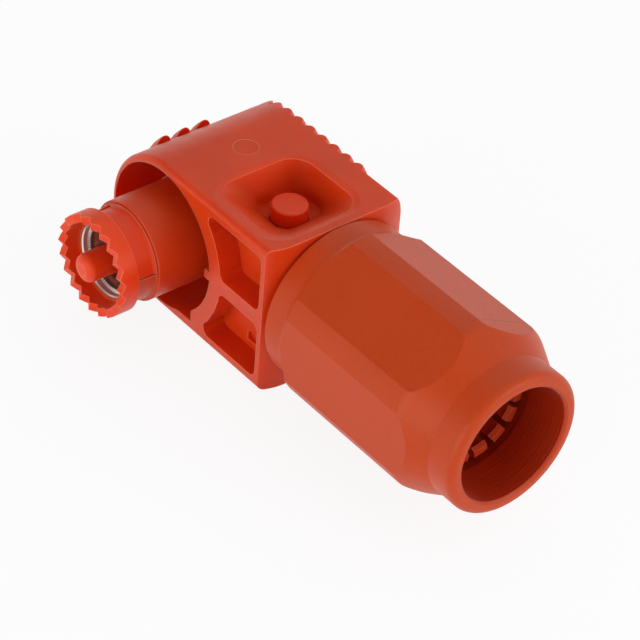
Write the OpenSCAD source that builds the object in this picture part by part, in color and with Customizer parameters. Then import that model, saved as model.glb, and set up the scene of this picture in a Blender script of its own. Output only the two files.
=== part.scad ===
// Right angle power connector plug: a moulded housing with a touch-proof socket that
// points along -Y, and a cable gland whose nut opens along +X.
// The origin is on the socket axis, at the plane of the housing's front face. Z is up.

/* [Housing] */
// Height of the housing, which is also the diameter of its round end
body_height = 30; // [29:0.5:33]
// Depth from the front face to the flat back
body_depth = 29.5; // [28.5:0.5:33]
// Distance from the socket axis to the end face behind the nut
body_reach = 29.7; // [29:0.1:33]
// Wall of the round skirt around the mouth
rim_wall = 1.2; // [0.8:0.1:1.6]
// Depth of the mouth behind the front face
mouth_depth = 14; // [12:0.5:16]
// Distance from the front face to the cable axis
cable_offset = 14.6; // [14:0.1:15.4]
// Round on the front outer edges
front_round = 1.2; // [0.4:0.1:1.6]
// Radius of the cut-short round on the back edges
back_round = 8.5; // [7:0.5:10]
// Height of that round below the top face
back_round_drop = 5.2; // [4:0.2:6]
// Radius of the cut-short round at both sides of the end face
end_round = 10.4; // [9:0.2:12]
// Length of that round along the depth
end_round_run = 5.2; // [4:0.2:6]

/* [Cells and keys] */
// Wall left between the mouth and the two moulded cells
cell_ring = 3; // [2:0.2:3.6]
// Depth of the cells
cell_depth = 4.6; // [3:0.2:5.2]
// Wall above the upper cell and below the lower one
cell_wall = 2.1; // [1.6:0.1:3]
// Wall between the cells and the end face
cell_end_wall = 0.95; // [0.8:0.05:1.6]
// Thickness of the rib between the cells
cell_rib = 2.8; // [1.6:0.2:4]
// Corner radius in the cells
cell_round = 1.5; // [0.5:0.1:2]
// Distance from the socket axis to the small slot in the lower cell
slot_start = 19.6; // [19:0.1:21]
// Distance of the slot's upper edge below the socket axis
slot_drop = 9.6; // [8:0.1:10.4]
// Width of the slot
slot_width = 4; // [2:0.2:5]
// Height of the slot
slot_height = 2; // [1:0.1:2.4]
// Depth of the slot
slot_depth = 0.8; // [0.4:0.1:1.2]
// Height of the key rib in the mouth
key_height = 1.4; // [0.8:0.1:2]
// Width of the key rib in the mouth
key_width = 1.7; // [1:0.1:2.4]
// Distance from the socket axis to the flat of the keyway in the mouth
keyway_drop = 12.7; // [12:0.1:13.2]
// Distance from the socket axis to the side of that keyway
keyway_side = 9.2; // [8:0.1:10]
// Depth of that keyway
keyway_depth = 6; // [4:0.5:8]

/* [Grip ribs] */
// Number of upright ribs on the back
back_rib_count = 9; // [5:1:9]
// Distance between two of these ribs
back_rib_pitch = 3.32; // [3:0.02:3.4]
// Place of the first rib along X
back_rib_start = -8.4; // [-9:0.1:-6]
// Radius of a back rib
back_rib_radius = 1.35; // [1:0.05:1.5]
// Height of a back rib above the back
back_rib_height = 0.85; // [0.4:0.05:1.1]
// Number of ribs around the round end
end_rib_count = 3; // [1:1:4]
// Distance between two of these ribs
end_rib_pitch = 4.3; // [4:0.1:4.6]
// Place of the middle of this group along Y
end_rib_middle = 12.4; // [11:0.1:13]
// Radius of an end rib
end_rib_radius = 1.6; // [1.4:0.05:1.9]
// Height of an end rib above the round end
end_rib_height = 1.1; // [0.6:0.05:1.3]
// Distance from the socket axis to the plane where the end ribs stop
end_rib_stop = 10.9; // [9:0.1:12]

/* [Button recess] */
// Edge of the recess nearest the socket axis, at the top face
recess_left = 9.15; // [8.9:0.05:9.6]
// Edge nearest the nut, at the top face
recess_right = 27.35; // [26.6:0.05:27.6]
// Edge nearest the front face, at the top face
recess_front = 2.95; // [2.8:0.05:3.8]
// Edge nearest the back, at the top face
recess_back = 21.9; // [21.4:0.1:22.4]
// Depth of the recess
recess_depth = 6.75; // [6:0.05:7.2]
// How far the wall nearest the socket axis leans in over that depth
recess_lean = 1.8; // [1.4:0.1:2]
// How far the wall nearest the back leans in over that depth
recess_draft = 1.05; // [0.4:0.05:1.4]
// Corner radius of the recess at the top face
recess_round = 4.4; // [3:0.1:4.6]
// Corner radius of the recess at its floor
floor_round = 2.2; // [1:0.1:2.6]
// Depth of the shallow bevel around the recess
bevel_depth = 0.25; // [0.1:0.05:0.4]
// Width of that bevel on the side of the socket
bevel_left = 0.4; // [0.2:0.05:0.6]
// Width of the bevel on the side of the nut
bevel_right = 0.9; // [0.4:0.05:1]
// Width of the bevel at the front
bevel_front = 1.6; // [0.8:0.1:1.7]
// Width of the bevel at the back
bevel_back = 1.2; // [0.6:0.1:1.6]
// Corner radius of the bevel's outer edge
bevel_round = 5.5; // [5:0.1:6]
// Place of the ejector mark on the top face along X
mark_x = 3.1; // [0:0.1:6]
// Place of the ejector mark along Y
mark_y = 15.2; // [8:0.1:20]
// Radius of the ejector mark
mark_radius = 2.26; // [1:0.02:2.5]
// Depth of the ejector mark
mark_depth = 0.12; // [0.04:0.02:0.3]
// Flat floor in front of the button
floor_front = 3; // [2.9:0.1:3.6]
// Flat floor between the button and the ramp nearest the nut
floor_right = 2.25; // [2.1:0.05:3]

/* [Release button] */
// Distance from the socket axis to the button
button_x = 16.5; // [16:0.1:17]
// Radius of the button at its top
button_top_radius = 2.97; // [2.4:0.05:3.1]
// Radius of the button at its foot
button_radius = 3.3; // [3.1:0.05:3.5]
// Height of the button above the recess floor
button_height = 3.2; // [2.6:0.1:4]
// Gap around the button
button_gap = 0.2; // [0.1:0.05:0.3]
// How far the button goes down
button_travel = 1.3; // [0.8:0.1:1.3]
// Radius of the button's retaining flange
flange_radius = 3.95; // [3.8:0.05:4.1]
// Thickness of that flange
flange_thickness = 0.45; // [0.3:0.05:0.5]

/* [Latch] */
// Floor of the latch chamber above the cable axis
chamber_floor = 4; // [3.9:0.05:4.1]
// Thickness of the recess floor above the chamber
floor_wall = 0.85; // [0.7:0.05:0.9]
// Width of the latch plate
latch_width = 8.6; // [8:0.1:9]
// Thickness of the latch plate
latch_thickness = 1; // [0.8:0.05:1]
// Width of the latch nose
nose_width = 2.8; // [2:0.1:3.6]
// Distance from the socket axis to the tip of the nose
nose_reach = 10.3; // [10:0.1:10.6]
// Gap around the latch plate
latch_gap = 0.3; // [0.2:0.05:0.4]

/* [Socket] */
// Outer radius of the socket sleeve
sleeve_radius = 9.25; // [9:0.05:9.4]
// Distance from the front face to the sleeve's step
sleeve_length = 7.2; // [6:0.1:8.4]
// Round on that step
sleeve_round = 0.15; // [0.1:0.05:0.6]
// Distance from the front face to the thicker root of the sleeve in the mouth
root_start = 5.6; // [4:0.1:6.2]
// How much thicker that root is
root_step = 0.25; // [0.2:0.05:0.5]
// Outer radius of the crown ring
crown_radius = 9.45; // [9.3:0.05:9.6]
// Distance from the front face to the crown's tips
crown_reach = 15.3; // [14.8:0.1:16]
// Length of the crown's full-width part
crown_length = 3.7; // [3.4:0.1:4.4]
// Wall of the crown
crown_wall = 1.6; // [1.3:0.05:1.8]
// Wall of the crown's skirt over the neck
skirt_wall = 0.35; // [0.3:0.05:0.6]
// Number of teeth on the crown
tooth_count = 20; // [12:1:24]
// Depth of the teeth
tooth_depth = 1; // [0.6:0.05:1.4]
// Fillet that leads from the neck to the sleeve's step
neck_fillet = 0.5; // [0.2:0.05:0.5]
// How far the snap lugs on the neck stand above the crown's skirt
lug_height = 0.35; // [0.2:0.05:0.4]
// Angle covered by each snap lug
lug_angle = 54; // [30:2:70]
// Radius of the touch-guard post
post_radius = 2.65; // [2.3:0.05:2.8]
// Distance from the front face to the post's tip
post_reach = 16.9; // [16:0.1:18]
// Round on the post's tip
post_round = 1.45; // [0.6:0.05:1.6]

/* [Contact] */
// Outer radius of the contact socket
contact_radius = 7.05; // [7:0.05:7.1]
// Bore radius of the contact socket
contact_bore = 6.6; // [6.4:0.05:6.65]
// Distance from the front face to the contact's front edge
contact_reach = 12.1; // [12:0.1:12.4]
// Thickness of the contact's base
contact_base = 3.4; // [2.6:0.1:4]
// Depth of the seal's groove around that base
seal_groove = 1.2; // [0.9:0.1:1.3]
// Number of wires in the contact basket
wire_count = 14; // [8:1:18]
// Width of a basket wire
wire_width = 1; // [0.6:0.1:1.2]
// Thickness of a basket wire
wire_thickness = 0.25; // [0.2:0.01:0.3]
// Length of the basket's retaining rings
ring_length = 1; // [0.6:0.1:1.3]
// Distance from the contact's front edge to the front ring
ring_inset = 1; // [0.6:0.1:1.4]
// Width of the contact tongue along Y
tongue_width = 13; // [12:0.1:13.2]
// Thickness of the contact tongue
tongue_thickness = 5.2; // [4.6:0.1:5.2]
// Gap around the metal contact pieces
contact_gap = 0.15; // [0.1:0.01:0.2]

/* [Crimp barrel] */
// Outer radius of the crimp barrel
barrel_radius = 9.4; // [9:0.05:9.5]
// Bore radius of the crimp barrel
barrel_bore = 7.7; // [7.6:0.05:8]
// Length of the crimp barrel with its closed end
barrel_length = 22.6; // [20:0.1:23]
// Thickness of the barrel's closed end
barrel_end = 2.6; // [2:0.1:4]
// Outer radius of the reducer sleeve
reducer_radius = 7.5; // [7.2:0.05:7.55]
// Bore radius of the reducer sleeve
reducer_bore = 5.9; // [5:0.05:6.2]
// Length of the reducer sleeve
reducer_length = 19.6; // [16:0.1:19.8]
// Lead-in at both ends of the reducer sleeve
reducer_chamfer = 0.4; // [0.1:0.05:0.6]

/* [Gland] */
// Outer radius of the threaded spigot
spigot_radius = 12.5; // [12.3:0.05:12.6]
// Wall of the spigot around the seal pocket
spigot_wall = 1.2; // [1:0.05:1.4]
// Length of the seal pocket
pocket_length = 9.3; // [8:0.1:10]
// Length of the cable seal
seal_length = 7.8; // [6:0.1:7.9]
// Bore radius of the cable seal
seal_bore = 8.1; // [7.4:0.05:8.4]
// Thickness of the thrust washer
washer_thickness = 1; // [0.6:0.05:1.1]
// Number of clamp fingers
finger_count = 14; // [10:1:14]
// Width of a clamp finger
finger_width = 2.7; // [2:0.1:3.4]
// Length of a clamp finger
finger_length = 4.6; // [3:0.1:5]
// Inner radius of the clamp fingers
finger_bore = 8.6; // [8.4:0.05:8.9]
// Thickness of a clamp finger
finger_thickness = 2; // [1.2:0.05:2.3]
// Length of the clamp cage's ring
cage_ring = 2; // [1.5:0.1:2.5]

/* [Gland nut] */
// Radius of the nut over its corner lands
nut_radius = 16.76; // [16.4:0.02:17.4]
// Distance from the nut's axis to its flats
nut_flat = 15.45; // [15.2:0.05:15.8]
// Length of the nut
nut_length = 46.4; // [44:0.1:50]
// Length of the round collar behind the housing
collar_length = 3.95; // [3:0.05:6]
// Radius of the fillet in which the collar rises to the lands
collar_fillet = 2.2; // [1.6:0.1:3]
// Length of the nut's shoulder and neck
nut_shoulder = 12.4; // [11:0.1:14]
// Round where the lands turn into the shoulder
shoulder_round = 2.9; // [1:0.1:4]
// Slope of the shoulder
shoulder_slope = 27.5; // [24:0.5:32]
// Outer radius of the nut's neck
neck_radius = 13.65; // [13.3:0.05:14]
// Round on the neck's rim
rim_round = 1.4; // [0.6:0.1:1.6]
// Radius of the cable mouth
mouth_bore = 11; // [10.4:0.05:11.4]
// Turn of the six flats about the cable axis
nut_clock = 2; // [0:1:59]
// Gap between the nut and what it runs on
nut_gap = 0.3; // [0.2:0.05:0.4]
// Radius of the section of the spigot seal
oring_section = 0.95; // [0.8:0.05:1]

/* [Hidden] */
$fn = 96;

orange = [0.86, 0.30, 0.13];
dark_orange = [0.78, 0.24, 0.10];
silver = [0.80, 0.79, 0.76];
steel = [0.66, 0.67, 0.68];
seal_grey = [0.30, 0.30, 0.32];

// A cut runs this far past the face that it opens, so that no skin is left
over = 1;

half_height = body_height / 2;
mouth_radius = half_height - rim_wall;

// Cut-short rounds on the back edges and beside the end face
back_round_y = body_depth - back_round;
back_round_z = half_height - back_round_drop;
end_round_x = body_reach - end_round;
end_face_edge = end_round_x + sqrt(end_round * end_round - end_round_run * end_round_run);

// Places along the socket axis
sleeve_step = -sleeve_length;
crown_tip = -crown_reach;
crown_back = crown_tip + crown_length;
contact_front = -contact_reach;
crown_bore = crown_radius - crown_wall;
neck_gap = 0.05;
sleeve_neck = crown_bore - neck_gap;
skirt_radius = crown_bore + skirt_wall;
skirt_end = sleeve_step - 0.1;
lug_radius = skirt_radius + lug_height;
lug_fillet = min(neck_fillet, sleeve_radius - sleeve_round - lug_radius);
lug_foot = skirt_radius + 0.05;
lug_gap = 0.2;
lug_start = 3 - lug_angle;
sleeve_bore = contact_radius + contact_gap;

// The contact tongue lies on the cable axis and crosses the back of the contact socket
tongue_front = cable_offset - tongue_width / 2;
tongue_back = cable_offset + tongue_width / 2;
tongue_half = tongue_thickness / 2;
base_front = tongue_front - contact_base;
contact_back = tongue_back + contact_gap;
tunnel_half = tongue_half + contact_gap;
tunnel_wall = chamber_floor - tunnel_half;

// Places along the cable axis
barrel_start = body_reach - barrel_end + 0.3;
barrel_open = barrel_start + barrel_length;
barrel_gap = 0.2;
spigot_bore = barrel_radius + barrel_gap;
pocket_start = barrel_open + 0.8;
pocket_radius = spigot_radius - spigot_wall;
spigot_end = pocket_start + pocket_length;
seal_start = pocket_start + 0.1;
washer_start = seal_start + seal_length + 0.1;
cage_start = spigot_end + 0.3;
finger_start = cage_start + cage_ring;
finger_tip = finger_start + finger_length;
nut_start = body_reach + nut_gap;
nut_end = nut_start + nut_length;
nut_bore = spigot_radius + nut_gap;
collar_radius = nut_flat - 0.1;
collar_end = nut_start + collar_length;
shoulder_start = nut_end - nut_shoulder;
shoulder_corner = shoulder_start + shoulder_round * tan(shoulder_slope / 2);
shoulder_end = shoulder_corner + (nut_radius - neck_radius) / tan(shoulder_slope);
cage_radius = nut_bore - 0.5;
seat_start = finger_start + 0.5;
seat_end = finger_tip + 0.5;

// Spigot seal in its groove behind the end face
groove_start = nut_start + 1.2;
groove_width = 2 * oring_section + 0.4;
groove_radius = spigot_radius + 0.25 - 2 * oring_section;
oring_ring = groove_radius + oring_section;
seal_land = nut_bore + 0.25;
seal_land_end = groove_start + groove_width + 1;

// Latch chamber, between the contact tunnel and the floor of the button recess
recess_floor = half_height - recess_depth;
chamber_top = recess_floor - floor_wall;
latch_bottom = chamber_floor + 0.35;
latch_top = latch_bottom + latch_thickness;
chamber_half = latch_width / 2 + latch_gap;
wedge_right = button_x + 1.7;
wedge_left = wedge_right - 3.2;
wedge_bottom = latch_top + 0.1;
window_left = wedge_left - button_travel - latch_gap;
window_right = wedge_right + 0.05;
window_half = flange_radius - 0.35;
latch_end = window_right + 2.2;
chamber_end = latch_end + button_travel + 0.6;
button_top = recess_floor + button_height;
flange_bottom = wedge_bottom + button_travel + 0.05;
flange_top = flange_bottom + flange_thickness;
spring_radius = 1.35;
spring_wire = 0.5;
spring_bore = spring_radius + spring_wire / 2 + 0.2;
spring_top = recess_floor + 1.2;
wedge_half = 3.1;

// Basket wires run straight between their rings and so narrow to a waist
basket_start = contact_front + ring_inset + ring_length + 0.1;
basket_end = base_front - ring_length - 0.6;
basket_length = basket_end - basket_start;
basket_ring = contact_bore - 0.45;
basket_waist = basket_ring - 0.4;
wire_reach = sqrt(basket_ring * basket_ring - basket_waist * basket_waist);
wire_tilt = atan(2 * wire_reach / basket_length);

// Turns a solid made along Z so that it runs along +Y on the socket axis
module along_socket() {
    rotate([-90, 0, 0]) children();
}

// Turns a solid made along Z so that it runs along +X on the cable axis
module along_cable(x = 0) {
    translate([x, cable_offset, 0]) rotate([0, 90, 0]) children();
}

module tube_socket(y0, y1, outer, inner) {
    along_socket() translate([0, 0, y0]) difference() {
        cylinder(h = y1 - y0, r = outer);
        translate([0, 0, -over]) cylinder(h = y1 - y0 + 2 * over, r = inner);
    }
}

module tube_cable(x0, x1, outer, inner) {
    along_cable(x0) difference() {
        cylinder(h = x1 - x0, r = outer);
        translate([0, 0, -over]) cylinder(h = x1 - x0 + 2 * over, r = inner);
    }
}

module torus(ring, section) {
    rotate_extrude() translate([ring, 0]) circle(r = section, $fn = 32);
}

// What is cut away outside a round of radius r about the centre [x, y]
module outside_round(x, y, r) {
    translate([x, y]) difference() {
        square(2 * r);
        circle(r = r);
    }
}

// Section of the housing from its axis outwards: radius along x, depth along y
module half_section() {
    difference() {
        square([half_height, body_depth]);
        outside_round(back_round_z, back_round_y, back_round);
        mirror([0, 1]) outside_round(half_height - front_round, -front_round, front_round);
    }
}

module full_section() {
    mirror([1, -1]) {
        half_section();
        mirror([1, 0]) half_section();
    }
}

// Round end by a revolve, the rest by an extrusion with both ends of its end face rounded
module body_block() {
    along_socket() rotate_extrude() half_section();
    difference() {
        rotate([90, 0, 90]) linear_extrude(height = body_reach) full_section();
        for (side = [0, 1])
            translate([0, side * body_depth, -body_height])
                mirror([0, side, 0])
                    linear_extrude(height = 2 * body_height)
                        mirror([0, 1]) outside_round(end_round_x, -end_round_run, end_round);
    }
}

// Upright grip rib, bent over the cut-short rounds of the back edges
module back_rib(x) {
    rib_y = back_round_y + back_round + back_rib_height - back_rib_radius;
    bend = rib_y - back_round_y;
    intersection() {
        union() {
            translate([x, rib_y, -back_round_z]) cylinder(h = 2 * back_round_z, r = back_rib_radius);
            for (side = [-1, 1])
                intersection() {
                    translate([x, back_round_y, side * back_round_z])
                        rotate([0, 90, 0]) torus(bend, back_rib_radius);
                    translate([x - 2 * back_rib_radius, back_round_y, side > 0 ? back_round_z : -half_height])
                        cube([4 * back_rib_radius, 2 * back_round, back_round_drop]);
                }
        }
        along_socket() cylinder(h = 2 * body_depth, r = x < 0 ? half_height : 4 * half_height);
    }
}

// Ribs around the round end
module end_ribs() {
    intersection() {
        for (i = [0 : end_rib_count - 1])
            along_socket() translate([0, 0, end_rib_middle + (i - (end_rib_count - 1) / 2) * end_rib_pitch])
                torus(half_height + end_rib_height - end_rib_radius, end_rib_radius);
        translate([-2 * half_height, 0, -half_height])
            cube([2 * half_height - end_rib_stop, body_depth, body_height]);
    }
}

module cell_outline() {
    offset(r = cell_round, $fn = 32) offset(delta = -cell_round) difference() {
        translate([0, cell_rib / 2])
            square([end_face_edge - cell_end_wall, half_height - cell_wall - cell_rib / 2]);
        circle(r = mouth_radius + cell_ring);
    }
}

module cells() {
    for (side = [0, 1])
        mirror([0, 0, side])
            translate([0, cell_depth, 0]) rotate([90, 0, 0])
                linear_extrude(height = cell_depth + over) cell_outline();
    translate([slot_start, cell_depth - over, -slot_drop - slot_height])
        cube([slot_width, slot_depth + over, slot_height]);
}

// Puts its child at the corner centres of a rounded rectangle [left, right, front, back, z, corner radius]
module at_corners(edge) {
    for (x = [edge[0] + edge[5], edge[1] - edge[5]])
        for (y = [edge[2] + edge[5], edge[3] - edge[5]])
            translate([x, y, edge[4]]) children();
}

// Block between two such rectangles. The cones point inwards, so that only their bases shape it
module flared_block(low, high) {
    point = (high[4] - low[4]) / 4;
    hull() {
        at_corners(low) cylinder(h = point, r1 = low[5], r2 = 0, $fn = 64);
        at_corners(high) translate([0, 0, -point]) cylinder(h = point, r1 = 0, r2 = high[5], $fn = 64);
    }
}

// Recess for the button: two steep walls and two ramps for a fingertip
module button_recess() {
    foot = [recess_left + recess_lean, button_x + floor_right, cable_offset - floor_front,
            recess_back - recess_draft, recess_floor, floor_round];
    rim = [recess_left, recess_right, recess_front, recess_back, half_height, recess_round];
    flared_block(foot, foot + (rim - foot) * (recess_depth + over) / recess_depth);
}

// Shallow bevel that leads into the recess, and the round mark of an ejector beside it
module top_marks() {
    inner = [recess_left, recess_right, recess_front, recess_back, half_height - bevel_depth, recess_round];
    outer = [recess_left - bevel_left, recess_right + bevel_right, recess_front - bevel_front,
             recess_back + bevel_back, half_height, bevel_round];
    flared_block(inner, 2 * outer - inner);
    translate([mark_x, mark_y, half_height - mark_depth]) cylinder(h = over, r = mark_radius);
}

// Mouth with the key rib and the keyway that keep the plug the right way round
module mouth() {
    difference() {
        union() {
            along_socket() translate([0, 0, -over]) cylinder(h = mouth_depth + over, r = mouth_radius);
            translate([0, -over, -keyway_drop]) cube([keyway_side, keyway_depth + over, keyway_drop]);
        }
        translate([mouth_radius - key_height, -2 * over, 0.15 - key_width / 2])
            cube([2 * key_height, mouth_depth + 2 * over, key_width]);
    }
}

// Insulated way for the contact tongue from the socket across the mouth
module tunnel_block() {
    translate([0, tongue_front - contact_gap - tunnel_wall, -chamber_floor])
        cube([mouth_radius + 1, mouth_depth, 2 * chamber_floor]);
}

// Wall that keeps the corner of the button recess closed towards the mouth
module recess_wall() {
    front = cable_offset - floor_front - 2.2;
    translate([recess_left + recess_lean - floor_wall, front, chamber_top])
        cube([mouth_radius, mouth_depth - front + over, half_height - chamber_top]);
}

module contact_ways() {
    along_socket() translate([0, 0, contact_front - over])
        cylinder(h = contact_back + 0.2 - contact_front + over, r = sleeve_bore);
    translate([0, tongue_front - contact_gap, -tunnel_half])
        cube([barrel_start, tongue_width + 2 * contact_gap, 2 * tunnel_half]);
    along_cable(barrel_start - 0.2) cylinder(h = barrel_length + 3, r = spigot_bore);
    along_cable(pocket_start) cylinder(h = pocket_length + over, r = pocket_radius);
}

module latch_ways() {
    chamber_start = nose_reach - latch_gap;
    translate([chamber_start, cable_offset - chamber_half, chamber_floor])
        cube([chamber_end - chamber_start, 2 * chamber_half, chamber_top - chamber_floor]);
    translate([button_x, cable_offset, chamber_floor])
        cylinder(h = half_height, r = button_radius + button_gap);
}

// Section of a snap lug, sloped for the crown ring to slide over and filleted at the step
module lug_section(top, start) {
    difference() {
        polygon([[sleeve_neck - 0.2, start], [lug_foot, start], [top, sleeve_step - 1.2],
                 [top, sleeve_step - lug_fillet], [top + lug_fillet, sleeve_step],
                 [top + lug_fillet, sleeve_step + sleeve_round], [sleeve_neck - 0.2, sleeve_step + sleeve_round]]);
        translate([top + lug_fillet, sleeve_step - lug_fillet]) circle(r = lug_fillet);
    }
}

// Snap lugs on the sleeve's neck
module snap_lugs(extra = 0) {
    for (turn = [0, 180])
        rotate([0, -turn, 0]) along_socket()
            rotate([0, 0, -(lug_start + lug_angle) - extra])
                rotate_extrude(angle = lug_angle + 2 * extra)
                    lug_section(lug_radius + extra, crown_back + 0.2 - extra / 20);
}

module socket_sleeve() {
    along_socket() rotate_extrude() difference() {
        polygon([[0, contact_front], [sleeve_neck, contact_front], [sleeve_neck, sleeve_step],
                 [sleeve_radius, sleeve_step], [sleeve_radius, root_start],
                 [sleeve_radius + root_step, root_start], [sleeve_radius + root_step, mouth_depth + over],
                 [0, mouth_depth + over]]);
        mirror([0, 1]) outside_round(sleeve_radius - sleeve_round, -sleeve_step - sleeve_round, sleeve_round);
    }
    snap_lugs();
}

module threaded_spigot() {
    difference() {
        along_cable(body_reach - over) cylinder(h = spigot_end - body_reach + over, r = spigot_radius);
        tube_cable(groove_start, groove_start + groove_width, 2 * spigot_radius, groove_radius);
    }
}

module housing() {
    color(orange)
    difference() {
        union() {
            difference() {
                union() {
                    body_block();
                    for (i = [0 : back_rib_count - 1]) back_rib(back_rib_start + i * back_rib_pitch);
                    end_ribs();
                }
                mouth();
                cells();
                button_recess();
                top_marks();
            }
            difference() {
                intersection() {
                    union() {
                        tunnel_block();
                        recess_wall();
                    }
                    along_socket() cylinder(h = body_depth, r = mouth_radius + 0.5);
                }
                button_recess();
            }
            socket_sleeve();
            threaded_spigot();
        }
        contact_ways();
        latch_ways();
    }
}

// Zigzag tooth gap cut through the crown's wall
module tooth_gap() {
    half_pitch = PI * crown_radius / tooth_count;
    translate([0, 0, crown_tip])
        rotate([90, 0, 90])
            linear_extrude(height = 2 * crown_radius)
                polygon([[-half_pitch, -over], [-half_pitch, 0], [0, tooth_depth], [half_pitch, 0],
                         [half_pitch, -over]]);
}

// Section of the crown: full-width part, and a skirt that ends in a fillet with a small lip
module crown_section() {
    lip = skirt_end - 0.1;
    difference() {
        polygon([[crown_bore, crown_tip], [crown_radius - 0.1, crown_tip], [crown_radius, crown_tip + 0.6],
                 [crown_radius, crown_back], [skirt_radius, crown_back], [skirt_radius, lip - neck_fillet],
                 [skirt_radius + neck_fillet, lip], [skirt_radius + neck_fillet, skirt_end],
                 [crown_bore, skirt_end]]);
        translate([skirt_radius + neck_fillet, lip - neck_fillet]) circle(r = neck_fillet);
    }
}

module crown_ring() {
    color(orange)
    difference() {
        along_socket() difference() {
            rotate_extrude() crown_section();
            for (i = [0 : tooth_count - 1])
                rotate([0, 0, (i + 0.5) * 360 / tooth_count]) tooth_gap();
        }
        snap_lugs(extra = 1);
    }
}

module touch_guard_post() {
    foot = tongue_front - 0.3;
    collar = post_radius + 0.7;
    color(orange)
    along_socket() rotate_extrude() {
        difference() {
            translate([0, -post_reach]) square([post_radius, foot + post_reach]);
            mirror([0, 1]) outside_round(post_radius - post_round, post_reach - post_round, post_round);
        }
        translate([0, base_front - 0.8]) square([collar, 0.8]);
    }
}

// Turned contact: socket bore in front, base with the post's hole, fork for the tongue behind
module contact_socket() {
    lead = 0.2;
    seal_y = tongue_front - contact_base / 2;
    groove_half = seal_groove / 2 + 0.15;
    groove_foot = contact_radius - seal_groove;
    color(silver)
    difference() {
        along_socket() rotate_extrude()
            polygon([[contact_bore + lead, contact_front], [contact_radius - 0.1, contact_front],
                     [contact_radius, contact_front + 0.1], [contact_radius, seal_y - groove_half],
                     [groove_foot, seal_y - groove_half], [groove_foot, seal_y + groove_half],
                     [contact_radius, seal_y + groove_half], [contact_radius, contact_back],
                     [0, contact_back], [0, base_front], [contact_bore, base_front],
                     [contact_bore, contact_front + lead]]);
        along_socket() translate([0, 0, base_front - over])
            cylinder(h = contact_base + 2 * over, r = post_radius + 0.1);
        translate([-2 * contact_radius, tongue_front, -tongue_half - 0.05])
            cube([4 * contact_radius, tongue_width + over, tongue_thickness + 0.1]);
    }
}

module contact_seal() {
    section = seal_groove / 2 + 0.05;
    color(seal_grey)
    along_socket() translate([0, 0, tongue_front - contact_base / 2])
        torus(contact_radius - seal_groove + section, section);
}

module contact_basket() {
    color(silver) {
        for (y = [basket_start, basket_end - 0.8])
            tube_socket(y, y + 0.8, basket_ring + 0.2, basket_ring - 0.2);
        for (i = [0 : wire_count - 1])
            rotate([0, i * 360 / wire_count, 0])
                translate([basket_waist, basket_start + basket_length / 2, 0])
                    rotate([wire_tilt, 0, 0])
                        cube([wire_thickness, basket_length / cos(wire_tilt) - 0.9, wire_width], center = true);
    }
}

module basket_front_ring() {
    color(silver)
    tube_socket(basket_start - 0.1 - ring_length, basket_start - 0.1, contact_bore - 0.05, basket_ring - 0.3);
}

module basket_rear_ring() {
    color(silver)
    tube_socket(basket_end + 0.1, basket_end + 0.1 + ring_length, contact_bore - 0.05, basket_ring - 0.3);
}

// Flat tongue that plugs into the fork of the contact and carries the crimp barrel
module contact_tongue() {
    nose = contact_radius - 0.7;
    color(silver)
    translate([0, tongue_front, -tongue_half]) difference() {
        translate([-nose, 0, 0]) cube([barrel_start + nose, tongue_width, tongue_thickness]);
        for (side = [0, 1])
            translate([-nose, side * tongue_width, tongue_half])
                rotate([0, 0, 45]) cube([1.4, 1.4, 2 * tongue_thickness], center = true);
    }
}

module crimp_barrel() {
    edge = 0.5;
    color(silver)
    along_cable() rotate_extrude()
        polygon([[0, barrel_start], [barrel_radius - edge, barrel_start], [barrel_radius, barrel_start + edge],
                 [barrel_radius, barrel_open], [barrel_bore + edge, barrel_open], [barrel_bore, barrel_open - edge],
                 [barrel_bore, barrel_start + barrel_end], [0, barrel_start + barrel_end]]);
}

module reducer_sleeve() {
    start = barrel_start + barrel_end + 0.1;
    finish = start + reducer_length;
    color(silver)
    along_cable() rotate_extrude()
        polygon([[reducer_bore + reducer_chamfer, start], [reducer_radius - reducer_chamfer, start],
                 [reducer_radius, start + reducer_chamfer], [reducer_radius, finish - reducer_chamfer],
                 [reducer_radius - reducer_chamfer, finish], [reducer_bore + reducer_chamfer, finish],
                 [reducer_bore, finish - reducer_chamfer], [reducer_bore, start + reducer_chamfer]]);
}

// Split ring that centres the open end of the barrel in the spigot
module barrel_bush() {
    color(dark_orange)
    difference() {
        tube_cable(barrel_open + 0.05, pocket_start - 0.05, spigot_bore - 0.05, barrel_bore + 0.2);
        translate([barrel_open, cable_offset - 0.6, 0]) cube([2, 1.2, 2 * spigot_bore]);
    }
}

// Button with a retaining flange and two wedges that push the latch plate aside
module release_button() {
    edge = 0.12;
    color(orange)
    translate([button_x, cable_offset, 0]) difference() {
        union() {
            rotate_extrude()
                polygon([[0, flange_bottom], [flange_radius, flange_bottom], [flange_radius, flange_top],
                         [button_radius, flange_top], [button_radius, recess_floor + 0.2],
                         [button_top_radius, button_top - edge], [button_top_radius - edge, button_top],
                         [0, button_top]]);
            intersection() {
                translate([-button_x, wedge_half, 0]) rotate([90, 0, 0])
                    linear_extrude(height = 2 * wedge_half)
                        polygon([[wedge_left, wedge_bottom], [wedge_right, wedge_bottom],
                                 [wedge_right + flange_bottom - wedge_bottom, flange_bottom],
                                 [wedge_left, flange_bottom]]);
                cylinder(h = half_height, r = flange_radius);
            }
        }
        translate([0, 0, wedge_bottom - over]) cylinder(h = spring_top - wedge_bottom + over, r = spring_bore);
    }
}

function coil_point(a, turns, low, high) =
    [spring_radius * cos(a), spring_radius * sin(a), low + (high - low) * a / (360 * turns)];

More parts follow.
